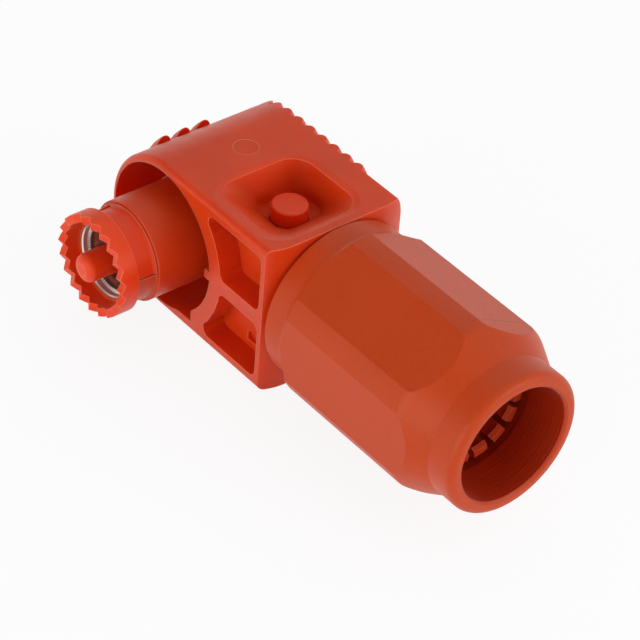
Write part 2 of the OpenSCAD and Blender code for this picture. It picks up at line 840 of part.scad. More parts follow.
// Coil swept as a six-sided wire
module coil(turns, low, high) {
    steps = 14;
    sides = 6;
    last = turns * steps;
    points = [for (i = [0 : last]) let (a = i * 360 / steps, p = coil_point(a, turns, low, high))
              for (k = [0 : sides - 1]) let (b = k * 360 / sides)
              p + spring_wire / 2 * [cos(b) * cos(a), cos(b) * sin(a), sin(b)]];
    walls = [for (i = [0 : last - 1]) for (k = [0 : sides - 1])
             [i * sides + k, (i + 1) * sides + k, (i + 1) * sides + (k + 1) % sides, i * sides + (k + 1) % sides]];
    caps = [[for (k = [0 : sides - 1]) k], [for (k = [sides - 1 : -1 : 0]) last * sides + k]];
    polyhedron(points = points, faces = concat(walls, caps), convexity = 6);
}

module button_spring() {
    margin = spring_wire / 2 + 0.05;
    color(steel)
    translate([button_x, cable_offset, 0]) coil(5, chamber_floor + margin, spring_top - margin);
}

// Stamped plate: nose in the mouth beside the socket, window around the button's wedges
module latch_plate() {
    corner = window_left - 1;
    nose_front = 0.3 - latch_width / 2;
    nose_back = nose_front + nose_width;
    lead = 1;
    color(steel)
    translate([0, cable_offset, latch_bottom]) difference() {
        linear_extrude(height = latch_thickness)
            polygon([[corner, -latch_width / 2], [latch_end, -latch_width / 2], [latch_end, latch_width / 2],
                     [corner, latch_width / 2], [corner, nose_back], [nose_reach, nose_back],
                     [nose_reach, nose_front + lead], [nose_reach + lead, nose_front], [corner, nose_front]]);
        translate([window_left, -window_half, -over])
            cube([window_right - window_left, 2 * window_half, latch_thickness + 2 * over]);
    }
}

module spigot_seal() {
    color(seal_grey)
    along_cable(groove_start + groove_width / 2) torus(oring_ring, oring_section);
}

// Elastic grommet with three sealing lips in its bore
module cable_seal() {
    lip = 0.5;
    color(seal_grey)
    along_cable(seal_start) {
        difference() {
            cylinder(h = seal_length, r = pocket_radius - 0.05);
            translate([0, 0, -over]) cylinder(h = seal_length + 2 * over, r = seal_bore);
        }
        for (i = [1 : 3]) translate([0, 0, i * seal_length / 4]) torus(seal_bore + 0.1, lip);
    }
}

module thrust_washer() {
    color(dark_orange)
    tube_cable(washer_start, washer_start + washer_thickness, pocket_radius - 0.1, seal_bore + 0.3);
}

// Ring with fingers that the nut's seat presses on the cable
module clamp_cage() {
    barb = 0.5;
    color(dark_orange) {
        tube_cable(cage_start, finger_start, cage_radius, finger_bore);
        along_cable() intersection() {
            rotate_extrude()
                polygon([[finger_bore, finger_start - 0.5], [finger_bore, finger_tip - 1.2],
                         [finger_bore - barb, finger_tip - 0.8], [finger_bore, finger_tip],
                         [finger_bore + finger_thickness * 0.6, finger_tip],
                         [finger_bore + finger_thickness, finger_tip - 0.9],
                         [finger_bore + finger_thickness, finger_start - 0.5]]);
            for (i = [0 : finger_count - 1])
                rotate([0, 0, (i + 0.5) * 360 / finger_count])
                    translate([0, -finger_width / 2, finger_start - 0.5])
                        cube([2 * finger_bore, finger_width, finger_length + 1]);
        }
    }
}

// Section of the nut, radius along x and length along y: collar, lands, shoulder, neck and rim
module nut_section() {
    foot_edge = 0.3;
    mouth_edge = 0.5;
    difference() {
        polygon([[nut_bore, nut_start], [collar_radius - foot_edge, nut_start],
                 [collar_radius, nut_start + foot_edge], [collar_radius, collar_end], [nut_radius, collar_end],
                 [nut_radius, shoulder_corner], [neck_radius, shoulder_end], [neck_radius, nut_end],
                 [mouth_bore + mouth_edge, nut_end], [mouth_bore, nut_end - mouth_edge], [mouth_bore, seat_end],
                 [nut_bore, seat_start]]);
        translate([collar_radius + collar_fillet, collar_end]) circle(r = collar_fillet);
        outside_round(neck_radius - rim_round, nut_end - rim_round, rim_round);
        translate([nut_radius - shoulder_round, shoulder_start]) difference() {
            polygon([[0, 0], [2 * shoulder_round, 0],
                     [2 * shoulder_round, 2 * shoulder_round * tan(shoulder_slope)]]);
            circle(r = shoulder_round);
        }
    }
}

module gland_nut() {
    color(orange)
    along_cable() difference() {
        intersection() {
            rotate_extrude() nut_section();
            rotate([0, 0, nut_clock]) cylinder(h = 2 * nut_end, r = nut_flat / cos(30), $fn = 6);
        }
        translate([0, 0, nut_start - over]) cylinder(h = seal_land_end - nut_start + over, r = seal_land);
    }
}

housing();
crown_ring();
touch_guard_post();
contact_socket();
contact_seal();
contact_basket();
basket_front_ring();
basket_rear_ring();
contact_tongue();
crimp_barrel();
reducer_sleeve();
barrel_bush();
release_button();
button_spring();
latch_plate();
spigot_seal();
cable_seal();
thrust_washer();
clamp_cage();
gland_nut();
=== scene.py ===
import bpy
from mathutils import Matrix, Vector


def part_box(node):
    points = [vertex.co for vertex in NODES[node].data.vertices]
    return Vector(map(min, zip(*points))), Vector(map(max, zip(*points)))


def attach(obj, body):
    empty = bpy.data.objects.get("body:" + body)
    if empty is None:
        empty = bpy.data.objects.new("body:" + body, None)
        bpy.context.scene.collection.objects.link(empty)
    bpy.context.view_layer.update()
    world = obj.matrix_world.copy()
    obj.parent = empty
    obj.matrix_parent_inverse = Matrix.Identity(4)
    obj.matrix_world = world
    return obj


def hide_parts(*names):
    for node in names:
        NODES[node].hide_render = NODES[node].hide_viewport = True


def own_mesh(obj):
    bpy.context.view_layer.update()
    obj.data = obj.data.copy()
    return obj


bl_info = {
    "name": "Right Angle Power Connector",
    "version": (1, 0, 0),
    "blender": (4, 5, 0),
    "location": "View3D > Sidebar > Connector",
    "description": "Dresses a right angle power connector in plastic and plated metal, on a studio floor",
    "category": "Object",
}

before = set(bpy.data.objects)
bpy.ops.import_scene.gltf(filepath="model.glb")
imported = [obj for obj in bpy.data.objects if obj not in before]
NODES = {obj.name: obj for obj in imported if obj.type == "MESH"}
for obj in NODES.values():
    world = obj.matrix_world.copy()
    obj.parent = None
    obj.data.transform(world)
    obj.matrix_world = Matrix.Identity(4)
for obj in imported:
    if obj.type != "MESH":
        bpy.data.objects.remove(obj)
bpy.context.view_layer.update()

import math

import bmesh
import bpy
from mathutils import Matrix, Vector

MM = 0.001
CABLE_Y = sum(corner.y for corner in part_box("crimp_barrel")) / 2
SPIGOT_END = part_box("housing")[1].x
NUT_LOW, NUT_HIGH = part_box("gland_nut")


def hex_colour(text):
    """Linear colour, with alpha, of a colour written as six hexadecimal digits."""
    parts = [int(text[i:i + 2], 16) / 255 for i in (0, 2, 4)]
    return tuple(p / 12.92 if p <= 0.04045 else ((p + 0.055) / 1.055) ** 2.4 for p in parts) + (1.0,)


# Pale colour of the painted edge highlight and the pin mark, tints for any colour of the plastic, and the
# two shades of the rubber
EDGE_HIGHLIGHT_AND_MARK_COLOUR = hex_colour("F6B79A")
SATIN_TINT = hex_colour("FFEBD2")
GRAIN_TINT = hex_colour("FFE9D0")
GRAIN_SHEEN = hex_colour("FFE3CE")
RUBBER_COLOUR = hex_colour("2A2B2E")
RUBBER_BLOOM = hex_colour("3C3D41")

# How fine each pattern is, in waves per metre
FLOW_WAVES = 90
NUT_FLOW_WAVES = 70
GLOSS_WAVES = 420
POLISH_WAVES = 8300
TURNED_WAVES = 2600
TOOL_WAVES = 9000
ACROSS_WAVES = 60
TARNISH_WAVES = 260
WEAR_WAVES = 900
PLATING_WAVES = 700
DRAWN_WAVES = 5200
DRAWN_LONG_WAVES = 400
BLOOM_WAVES = 300
RUBBER_WAVES = 6000

# The floor's grey in the light that it throws on the part, and the faint grey and the glow that the camera
# sees instead, which make the floor white and keep the shadow
FLOOR_GREY = 0.86
FLOOR_SHADE = 0.13
FLOOR_GLOW = 0.89

# Heights, as the sine of the angle above the horizon, between which the studio's walls turn into ceiling
WALL_TOP = 0.12
CEILING_START = 0.5


class MouldedPlasticSettings(bpy.types.PropertyGroup):
    """Colours and surface of the moulded pieces."""

    body_colour: bpy.props.FloatVectorProperty(
        name="Body colour", description="Colour of the housing and what is moulded like it",
        default=hex_colour("E0410C"), size=4, subtype="COLOR", min=0, max=1)
    small_colour: bpy.props.FloatVectorProperty(
        name="Small parts colour", description="Colour of the crown, the post and the button",
        default=hex_colour("F84308"), size=4, subtype="COLOR", min=0, max=1)
    nut_colour: bpy.props.FloatVectorProperty(
        name="Nut colour", description="Colour of the gland nut",
        default=hex_colour("C73F0C"), size=4, subtype="COLOR", min=0, max=1)
    # Darker red painted into the nut's bore: painted shade in the recess
    nut_bore_shade: bpy.props.FloatVectorProperty(
        name="Nut bore colour", description="Colour of the nut's bore, a deeper red than its outside",
        default=hex_colour("B42A06"), size=4, subtype="COLOR", min=0, max=1)
    body_roughness: bpy.props.FloatProperty(
        name="Body roughness", description="Roughness of the smooth mould surfaces",
        default=0.4, min=0, max=1)
    nut_roughness: bpy.props.FloatProperty(
        name="Nut roughness", description="Roughness of the spark-eroded nut", default=0.46, min=0, max=1)
    grain_size: bpy.props.FloatProperty(
        name="Grain size", description="Size of the nut's spark-eroded grain",
        default=0.35 * MM, min=0.05 * MM, max=2 * MM, subtype="DISTANCE", unit="LENGTH")
    edge_round: bpy.props.FloatProperty(
        name="Edge round", description="Radius at which moulded edges catch the light",
        default=0.16 * MM, min=0, max=1 * MM, subtype="DISTANCE", unit="LENGTH")
    # The width of the painted highlight, a pale line along sharp outer edges
    edge_highlight_width: bpy.props.FloatProperty(
        name="Flash width", description="Width of the pale flash line that the mould leaves on sharp edges",
        default=0.13 * MM, min=0.02 * MM, max=0.5 * MM, subtype="DISTANCE", unit="LENGTH")
    button_radius: bpy.props.FloatProperty(
        name="Button radius", description="Radius of the button where the finger presses it",
        default=3.3 * MM, min=2.5 * MM, max=3.45 * MM, subtype="DISTANCE", unit="LENGTH")
    button_rise: bpy.props.FloatProperty(
        name="Button rise", description="Height of the straight cap, from its lower end to the button's top",
        default=2.95 * MM, min=1 * MM, max=3.1 * MM, subtype="DISTANCE", unit="LENGTH")
    button_round: bpy.props.FloatProperty(
        name="Button round", description="Rounding of the button's upper edge",
        default=0.35 * MM, min=0.05 * MM, max=1 * MM, subtype="DISTANCE", unit="LENGTH")
    pin_mark_radius: bpy.props.FloatProperty(
        name="Pin mark radius", description="Radius of the fine line on the post's tip",
        default=1.2 * MM, min=0.2 * MM, max=2 * MM, subtype="DISTANCE", unit="LENGTH")
    parting_place: bpy.props.FloatProperty(
        name="Parting line", description="Place of the nut's parting line along the cable axis",
        default=62.9 * MM, min=NUT_LOW.x, max=NUT_HIGH.x, subtype="DISTANCE", unit="LENGTH")
    nut_bore_radius: bpy.props.FloatProperty(
        name="Nut bore radius", description="Radius inside which the nut shows its turned rings",
        default=11.1 * MM, min=10 * MM, max=13 * MM, subtype="DISTANCE", unit="LENGTH")
    light_depth: bpy.props.FloatProperty(
        name="Light depth", description="How far red light travels in the plastic",
        default=3 * MM, min=0.1 * MM, max=20 * MM, subtype="DISTANCE", unit="LENGTH")


class PlatedMetalSettings(bpy.types.PropertyGroup):
    """Colours and surface of the contact and its springs."""

    plating_colour: bpy.props.FloatVectorProperty(
        name="Plating colour", description="Colour of the silver plating",
        default=hex_colour("EDE0D8"), size=4, subtype="COLOR", min=0, max=1)
    plating_roughness: bpy.props.FloatProperty(
        name="Plating roughness", description="Roughness of the plated surfaces",
        default=0.27, min=0, max=1)
    steel_colour: bpy.props.FloatVectorProperty(
        name="Steel colour", description="Colour of the spring steel",
        default=hex_colour("B9BCC0"), size=4, subtype="COLOR", min=0, max=1)
    spring_wire: bpy.props.FloatProperty(
        name="Spring wire", description="Diameter of the wire of the spring under the button",
        default=0.5 * MM, min=0.2 * MM, max=0.8 * MM, subtype="DISTANCE", unit="LENGTH")
    ridge_count: bpy.props.IntProperty(
        name="Ridges", description="Ridges around the basket's front ring", default=84, min=12, max=240)
    ridge_depth: bpy.props.FloatProperty(
        name="Ridge depth", description="Depth of the grooves between the ridges",
        default=0.18 * MM, min=0.02 * MM, max=0.3 * MM, subtype="DISTANCE", unit="LENGTH")
    ring_wall: bpy.props.FloatProperty(
        name="Ring wall", description="Thickness of the basket's front ring",
        default=0.7 * MM, min=0.3 * MM, max=1 * MM, subtype="DISTANCE", unit="LENGTH")
    lip_depth: bpy.props.FloatProperty(
        name="Lip depth", description="Depth of the contact's bright lip in front of the dull bore",
        default=0.22 * MM, min=0.05 * MM, max=1 * MM, subtype="DISTANCE", unit="LENGTH")
    # Brown painted in the contact's bore: painted shade and a painted reflection of the red plastic around
    # it
    painted_bore_colour: bpy.props.FloatVectorProperty(
        name="Bore colour", description="Colour of the thin, dull plating in the contact's bore",
        default=hex_colour("C98F7E"), size=4, subtype="COLOR", min=0, max=1)


class ThreadSettings(bpy.types.PropertyGroup):
    """Thread between the spigot and the gland nut."""

    pitch: bpy.props.FloatProperty(
        name="Pitch", description="Distance between two turns of the thread",
        default=2 * MM, min=0.5 * MM, max=4 * MM, subtype="DISTANCE", unit="LENGTH")
    height: bpy.props.FloatProperty(
        name="Ridge height", description="Height of the thread's ridge above its wall",
        default=0.2 * MM, min=0.05 * MM, max=0.28 * MM, subtype="DISTANCE", unit="LENGTH")
    spigot_radius: bpy.props.FloatProperty(
        name="Spigot radius", description="Radius of the wall that the outer thread stands on",
        default=12.5 * MM, min=10 * MM, max=14 * MM, subtype="DISTANCE", unit="LENGTH")
    bore_radius: bpy.props.FloatProperty(
        name="Bore radius", description="Radius of the nut's bore that the inner thread stands on",
        default=12.8 * MM, min=10 * MM, max=15 * MM, subtype="DISTANCE", unit="LENGTH")
    lead_in: bpy.props.FloatProperty(
        name="Lead in", description="Distance from the nut's end at the housing to the first turn",
        default=6.2 * MM, min=1 * MM, max=12 * MM, subtype="DISTANCE", unit="LENGTH")
    lead_out: bpy.props.FloatProperty(
        name="Lead out", description="Distance from the last turn to the spigot's end",
        default=1.2 * MM, min=0.2 * MM, max=4 * MM, subtype="DISTANCE", unit="LENGTH")
    steps: bpy.props.IntProperty(
        name="Steps", description="Steps in one turn of the thread", default=64, min=16, max=128)


class StudioSettings(bpy.types.PropertyGroup):
    """Camera, lamps and floor."""

    azimuth: bpy.props.FloatProperty(
        name="Azimuth", description="Turn of the camera about the vertical",
        default=math.radians(48.36), subtype="ANGLE", unit="ROTATION")
    elevation: bpy.props.FloatProperty(
        name="Elevation", description="Height of the camera as an angle",
        default=math.radians(38.85), subtype="ANGLE", unit="ROTATION")
    roll: bpy.props.FloatProperty(
        name="Roll", description="Turn of the camera about its own line of sight",
        default=math.radians(4.796), subtype="ANGLE", unit="ROTATION")
    distance: bpy.props.FloatProperty(
        name="Distance", description="Distance from the camera to the point it looks at",
        default=516.23 * MM, min=0.1, max=3, subtype="DISTANCE", unit="LENGTH")
    target: bpy.props.FloatVectorProperty(
        name="Target", description="Point that the camera looks at",
        default=(24.69 * MM, 16.36 * MM, -9.41 * MM), size=3, subtype="TRANSLATION", unit="LENGTH")
    lens: bpy.props.FloatProperty(
        name="Lens", description="Focal length on a 36 mm sensor, in millimetres",
        default=167.29, min=20, max=400)
    light_level: bpy.props.FloatProperty(
        name="Light level", description="Light of all the lamps, where 1 shows a colour as it is written",
        default=1.0, min=0, max=4)
    wall_strength: bpy.props.FloatProperty(
        name="Wall strength", description="Light that comes from the pale walls of the studio",
        default=1.0, min=0, max=2)
    ceiling_strength: bpy.props.FloatProperty(
        name="Ceiling strength", description="Light that comes from the ceiling between the soft boxes",
        default=0.22, min=0, max=2)


class NodeBoard:
    """A material's node tree, with its nodes placed in columns as they are added."""

    def __init__(self, name):
        self.material = bpy.data.materials.new(name)
        self.material.use_nodes = True
        self.tree = self.material.node_tree
        self.tree.nodes.clear()
        self.count = 0
        self.output = self.add("ShaderNodeOutputMaterial")

    def add(self, kind, inputs=None, **settings):
        node = self.tree.nodes.new(kind)
        node.location = (-220 * (self.count // 4), -260 * (self.count % 4))
        self.count += 1
        for key, value in settings.items():
            setattr(node, key, value)
        for key, value in (inputs or {}).items():
            self.feed(node.inputs[key], value)
        return node

    def feed(self, socket, value):
        if isinstance(value, bpy.types.NodeSocket):
            self.tree.links.new(value, socket)
        else:
            socket.default_value = value

    def place(self, scale=(1, 1, 1), location=(0, 0, 0)):
        """Object coordinates, stretched and moved."""
        point = self.add("ShaderNodeTexCoord").outputs["Object"]
        mapping = self.add("ShaderNodeMapping", {"Vector": point, "Scale": scale, "Location": location})
        return mapping.outputs["Vector"]

    def noise(self, vector, scale, detail=2.0, roughness=0.5):
        return self.add("ShaderNodeTexNoise", {
            "Vector": vector, "Scale": scale, "Detail": detail, "Roughness": roughness}).outputs["Fac"]

    def between(self, factor, low, high, from_low=0.0, from_high=1.0):
        """A number that runs from low to high as factor runs over its range."""
        return self.add("ShaderNodeMapRange", {
            "Value": factor, "From Min": from_low, "From Max": from_high, "To Min": low, "To Max": high}
        ).outputs["Result"]

    def mix(self, factor, first, second):
        node = self.add("ShaderNodeMix", data_type="RGBA")
        colours = [s for s in node.inputs if s.type == "RGBA"]
        self.feed(node.inputs["Factor"], factor)
        self.feed(colours[0], first)
        self.feed(colours[1], second)
        return next(s for s in node.outputs if s.type == "RGBA")

    def bump(self, height, distance, strength=1.0, normal=None):
        inputs = {"Height": height, "Distance": distance, "Strength": strength}
        if normal is not None:
            inputs["Normal"] = normal
        return self.add("ShaderNodeBump", inputs).outputs["Normal"]

    def across(self, axis, centre=(0, 0, 0)):
        """Distance from a line that runs along this axis through centre."""
        keep = [float(letter != axis) for letter in "XYZ"]
        flat = self.place(scale=keep, location=[-c * k for c, k in zip(centre, keep)])
        return self.add("ShaderNodeVectorMath", {0: flat}, operation="LENGTH").outputs["Value"]

    def along(self, axis):
        return self.add("ShaderNodeSeparateXYZ", {"Vector": self.place()}).outputs[axis]

    def math(self, operation, *values):
        return self.add("ShaderNodeMath", dict(enumerate(values)), operation=operation).outputs[0]

    def edge_line(self, width):
        """1 on a sharp outer edge, falling to 0 at this distance from it, and 0 in inner corners."""
        inside = self.add("ShaderNodeAmbientOcclusion", {"Distance": width}, inside=True, only_local=True,
                          samples=8)
        return self.between(inside.outputs["AO"], 1, 0, 0.62, 0.92)

    def soft_edges(self, radius):
        return self.add("ShaderNodeBevel", {"Radius": radius}, samples=6).outputs["Normal"]

    def finish(self, **inputs):
        shader = self.add("ShaderNodeBsdfPrincipled",
                          {key.replace("_", " "): value for key, value in inputs.items()})
        self.tree.links.new(shader.outputs["BSDF"], self.output.inputs["Surface"])
        return self.material


def scaled(colour, factor):
    """The colour made darker or brighter, with full alpha."""
    return tuple(min(1.0, c * factor) for c in colour[:3]) + (1.0,)


def moulded_plastic(name, colour, roughness, edge_round, edge_highlight_width, light_depth, ring=None):
    """Satin mould surface with faint flow shading, a fine polish texture and a pale painted highlight along
    sharp edges.

    Light passes through the plastic over about light_depth, which is less in a thin wall. A ring is the
    radius of the fine line that the mould's pin leaves around the socket's axis.
    """
    board = NodeBoard(name)
    point = board.place()
    flow = board.noise(point, FLOW_WAVES, detail=3)
    shade = board.mix(board.between(flow, 0, 1, 0.3, 0.7), scaled(colour, 0.94), scaled(colour, 1.05))
    # Painted highlight: a pale line along sharp outer edges, where they catch the light; the pin's ring line
    # is drawn in the same pale colour
    edge_highlight_and_mark = board.between(board.edge_line(edge_highlight_width), 0, 0.55)
    if ring:
        line = board.math("COMPARE", board.across("Y"), ring, 0.05 * MM)
        edge_highlight_and_mark = board.math("MAXIMUM", edge_highlight_and_mark, board.between(line, 0, 0.4))
    shade = board.mix(edge_highlight_and_mark, shade, EDGE_HIGHLIGHT_AND_MARK_COLOUR)
    polish = board.noise(point, POLISH_WAVES, detail=2)
    patches = board.noise(point, GLOSS_WAVES, detail=2)
    rough = board.between(patches, roughness - 0.04, roughness + 0.05, 0.3, 0.7)
    normal = board.bump(polish, 0.0035 * MM, 1.0, board.soft_edges(edge_round))
    return board.finish(Base_Color=shade, Roughness=rough, Normal=normal, Specular_IOR_Level=0.5,
                        Specular_Tint=SATIN_TINT, Sheen_Weight=0.03, Sheen_Roughness=0.3,
                        Subsurface_Weight=0.75, Subsurface_Radius=(1.0, 0.07, 0.02),
                        Subsurface_Scale=light_depth)


def eroded_plastic(name, colour, painted_bore_colour, roughness, edge_round, grain_size, parting, bore):
    """Spark-eroded mould surface: an even, sharp grain that dulls the gloss.

    The mould's parting line runs around the piece at this X, and fine turned rings line its bore, inside
    this radius, which is also painted a darker red as painted shade.
    """
    board = NodeBoard(name)
    point = board.place()
    flow = board.noise(point, NUT_FLOW_WAVES, detail=3)
    shade = board.mix(board.between(flow, 0, 1, 0.3, 0.7), scaled(colour, 0.93), scaled(colour, 1.05))
    coarse = board.noise(point, 1 / grain_size, detail=4, roughness=0.6)
    speck = board.mix(board.between(coarse, 0, 1, 0.35, 0.65), shade, scaled(colour, 1.12))
    line = board.math("COMPARE", board.along("X"), parting, 0.06 * MM)
    strength = board.between(board.along("Y"), 0.1, 0.65, CABLE_Y - 1 * MM, CABLE_Y + 2 * MM)
    speck = board.mix(board.math("MULTIPLY", line, strength), speck, scaled(colour, 0.2))
    rough = board.between(coarse, roughness - 0.07, roughness + 0.09, 0.35, 0.65)
    in_bore = board.between(board.across("X", (0, CABLE_Y, 0)), 1, 0, bore, bore + 0.2 * MM)
    # Painted shade: the bore, a recess, is painted the darker bore colour
    speck = board.mix(in_bore, speck, painted_bore_colour)
    turned = board.noise(board.place(scale=(TURNED_WAVES, 0, 0)), 1.0, detail=1)
    ring_height = board.math("MULTIPLY", turned, in_bore)
    rings = board.bump(ring_height, 0.12 * MM, 1.0, board.soft_edges(edge_round))
    normal = board.bump(coarse, 0.022 * MM, 1.0, rings)
    return board.finish(Base_Color=speck, Roughness=rough, Normal=normal, Specular_IOR_Level=0.45,
                        Specular_Tint=GRAIN_TINT, Sheen_Weight=0.12, Sheen_Roughness=0.3,
                        Sheen_Tint=GRAIN_SHEEN)


def plated_metal(name, colour, roughness):
    """Silver plating over turned metal: fine tool lines around the cable axis and a light tarnish."""
    board = NodeBoard(name)
    tool = board.place(scale=(TOOL_WAVES, ACROSS_WAVES, ACROSS_WAVES))
    lines = board.noise(tool, 1.0, detail=3, roughness=0.7)
    point = board.place()
    tarnish = board.between(board.noise(point, TARNISH_WAVES, detail=4), 0, 1, 0.4, 0.75)
    shade = board.mix(tarnish, colour, scaled(colour, 0.86))
    wear = board.noise(point, WEAR_WAVES, detail=3)
    rough = board.between(wear, roughness - 0.06, roughness + 0.1, 0.3, 0.7)
    normal = board.bump(lines, 0.004 * MM, 0.8, board.soft_edges(0.08 * MM))
    return board.finish(Base_Color=shade, Metallic=1.0, Roughness=rough, Normal=normal)


def bored_plating(name, colour, painted_bore_colour, roughness, lip, bore):
    """Plating that is bright outside and on the lip, and dull in the bore behind the lip's Y, painted brown
    there as painted shade and a painted reflection of the red plastic.
    """
    board = NodeBoard(name)
    behind = board.between(board.along("Y"), 0, 1, lip, lip + 0.06 * MM)
    inner = board.between(board.across("Y"), 1, 0, bore, bore + 0.05 * MM)
    bore_shade_and_dullness = board.math("MULTIPLY", behind, inner)
    grain = board.noise(board.place(), PLATING_WAVES, detail=3)
    bright = board.mix(board.between(grain, 0, 1, 0.35, 0.7), colour, scaled(colour, 0.93))
    # Painted shade and reflection: the bore is painted brown, and made less metallic and rougher
    shade = board.mix(bore_shade_and_dullness, bright, painted_bore_colour)
    metallic = board.between(bore_shade_and_dullness, 1, 0.2)
    rough = board.between(bore_shade_and_dullness, roughness, 0.5)
    lines = board.noise(board.place(scale=(ACROSS_WAVES, TOOL_WAVES, ACROSS_WAVES)), 1.0, detail=2)
    normal = board.bump(lines, 0.0015 * MM, 0.6, board.soft_edges(0.06 * MM))
    return board.finish(Base_Color=shade, Metallic=metallic, Roughness=rough, Normal=normal)


def rolled_ridges(name, colour, roughness):
    """Bright plating on the crests of a ridged ring, with painted shade, a dark brown, down between them."""
    board = NodeBoard(name)
    # Painted shade: the plating is darkened in the hollows between the ridges
    ridge_crease_shade = board.add("ShaderNodeAmbientOcclusion", {"Distance": 0.2 * MM}, only_local=True, samples=8)
    shade = board.mix(board.between(ridge_crease_shade.outputs["AO"], 1, 0, 0.5, 0.95), scaled(colour, 0.85),
                      scaled(colour, 0.16))
    wear = board.noise(board.place(), WEAR_WAVES, detail=2)
    rough = board.between(wear, roughness - 0.04, roughness + 0.06)
    return board.finish(Base_Color=shade, Metallic=1.0, Roughness=rough)


def drawn_steel(name, colour):
    """Dull spring steel with the long grain of drawing and rolling."""
    board = NodeBoard(name)
    grain = board.noise(board.place(scale=(DRAWN_LONG_WAVES, DRAWN_WAVES, DRAWN_WAVES)), 1.0, detail=2)
    rough = board.between(grain, 0.34, 0.5, 0.3, 0.7)
    normal = board.bump(grain, 0.003 * MM)
    return board.finish(Base_Color=colour, Metallic=0.85, Roughness=rough, Normal=normal)


def seal_rubber(name):
    """Dark rubber with a faint grey bloom."""
    board = NodeBoard(name)
    point = board.place()
    bloom = board.between(board.noise(point, BLOOM_WAVES, detail=4), 0, 1, 0.35, 0.7)
    shade = board.mix(bloom, RUBBER_COLOUR, RUBBER_BLOOM)
    normal = board.bump(board.noise(point, RUBBER_WAVES, detail=2), 0.006 * MM)
    return board.finish(Base_Color=shade, Roughness=0.62, Normal=normal)


def dress(names, material):
    """Gives CAD nodes their finish."""
    for name in names:
        mesh = NODES[name].data
        mesh.materials.clear()
        mesh.materials.append(material)


def to_object(name, bm, material, body, smooth_angle=35):
    """Puts a finished bmesh into the scene as a piece that rides on a body."""
    mesh = bpy.data.meshes.new(name)
    bm.to_mesh(mesh)
    bm.free()
    mesh.materials.append(material)
    piece = bpy.data.objects.new(name, mesh)
    bpy.context.scene.collection.objects.link(piece)
    mesh.shade_smooth()
    mesh.set_sharp_from_angle(angle=math.radians(smooth_angle))
    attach(piece, body)
    return piece


def spun_cap(x, y, radius, bottom, top, rounding):
    """Upright cylinder with a rounded upper edge."""
    bm = bmesh.new()
    middle = (top + bottom) / 2
    bmesh.ops.create_cone(bm, cap_ends=True, segments=96, radius1=radius, radius2=radius,
                          depth=top - bottom)
    bmesh.ops.translate(bm, vec=(x, y, middle), verts=bm.verts)
    rim = [e for e in bm.edges if all(v.co.z > middle for v in e.verts)]
    bmesh.ops.bevel(bm, geom=rim, offset=rounding, segments=5, profile=0.5, affect="EDGES", material=-1)
    bmesh.ops.recalc_face_normals(bm, faces=bm.faces)
    return bm


def ridged_ring(front, back, outer, inner, count, depth):
    """Ring around the Y axis with fine ridges rolled into its front and its bore, four steps to a ridge."""
    bm = bmesh.new()
    slope = 0.2 * MM
    profile = [(front, outer), (front, inner + 1.6 * slope), (front + slope, inner), (back, inner),
               (back, outer)]
    corners = [bm.verts.new((r, y, 0)) for y, r in profile]
    face = bm.faces.new(corners)
    bmesh.ops.delete(bm, geom=[face], context="FACES_ONLY")
    bmesh.ops.spin(bm, geom=list(bm.edges) + corners, cent=(0, 0, 0), axis=(0, 1, 0), dvec=(0, 0, 0),
                   angle=2 * math.pi, steps=4 * count, use_merge=True, use_duplicate=False)
    step = math.pi / 2 / count
    for vert in bm.verts:
        place = math.atan2(vert.co.z, vert.co.x)
        radius = math.hypot(vert.co.x, vert.co.z)
        if round(place / step) % 4 < 2 and radius < inner + 2 * slope:
            vert.co.x *= 1 + depth / radius
            vert.co.z *= 1 + depth / radius
            if vert.co.y < front + slope / 2:
                vert.co.y += depth
    bmesh.ops.recalc_face_normals(bm, faces=bm.faces)
    return bm


def wind(bm, centre, axis, step_rise, turns, steps):
    """Winds the section that the bmesh holds around an axis, and closes the two ends."""
    bmesh.ops.spin(bm, geom=list(bm.faces) + list(bm.edges) + list(bm.verts), cent=centre, axis=axis,
                   dvec=Vector(axis) * step_rise, angle=turns * 2 * math.pi, steps=round(turns * steps),
                   use_duplicate=False)
    bmesh.ops.remove_doubles(bm, verts=bm.verts, dist=1e-7)
    open_edges = [e for e in bm.edges if e.is_boundary]
    if open_edges:
        bmesh.ops.holes_fill(bm, edges=open_edges, sides=len(open_edges))
    bmesh.ops.recalc_face_normals(bm, faces=bm.faces)


def thread_ridge(wall_radius, height, start, end, pitch, steps, turn):
    """One ridge that winds along X around the cable axis; a negative height is a ridge inside a bore."""
    bm = bmesh.new()
    foot = pitch * 0.36
    crest = pitch * 0.12
    sunk = math.copysign(0.05 * MM, height)
    ring = [(-foot / 2, wall_radius - sunk), (-crest / 2, wall_radius + height),
            (crest / 2, wall_radius + height), (foot / 2, wall_radius - sunk)]
    bm.faces.new([bm.verts.new((start + x, CABLE_Y, r)) for x, r in ring])
    bmesh.ops.rotate(bm, cent=(0, CABLE_Y, 0), matrix=Matrix.Rotation(turn, 3, "X"), verts=bm.verts)
    wind(bm, (0, CABLE_Y, 0), (1, 0, 0), pitch / steps, (end - start) / pitch, steps)
    return bm


def wound_coil(x, y, radius, wire, low, high, turns, steps=32):
    """Round wire wound upwards between two heights, which its ends touch."""
    bm = bmesh.new()
    bmesh.ops.create_circle(bm, cap_ends=True, segments=10, radius=wire / 2,
                            matrix=Matrix.Rotation(math.pi / 2, 4, "X"))
    bmesh.ops.translate(bm, vec=(x + radius, y, low + wire / 2), verts=bm.verts)
    wind(bm, (x, y, 0), (0, 0, 1), (high - low - wire) / (turns * steps), turns, steps)
    return bm


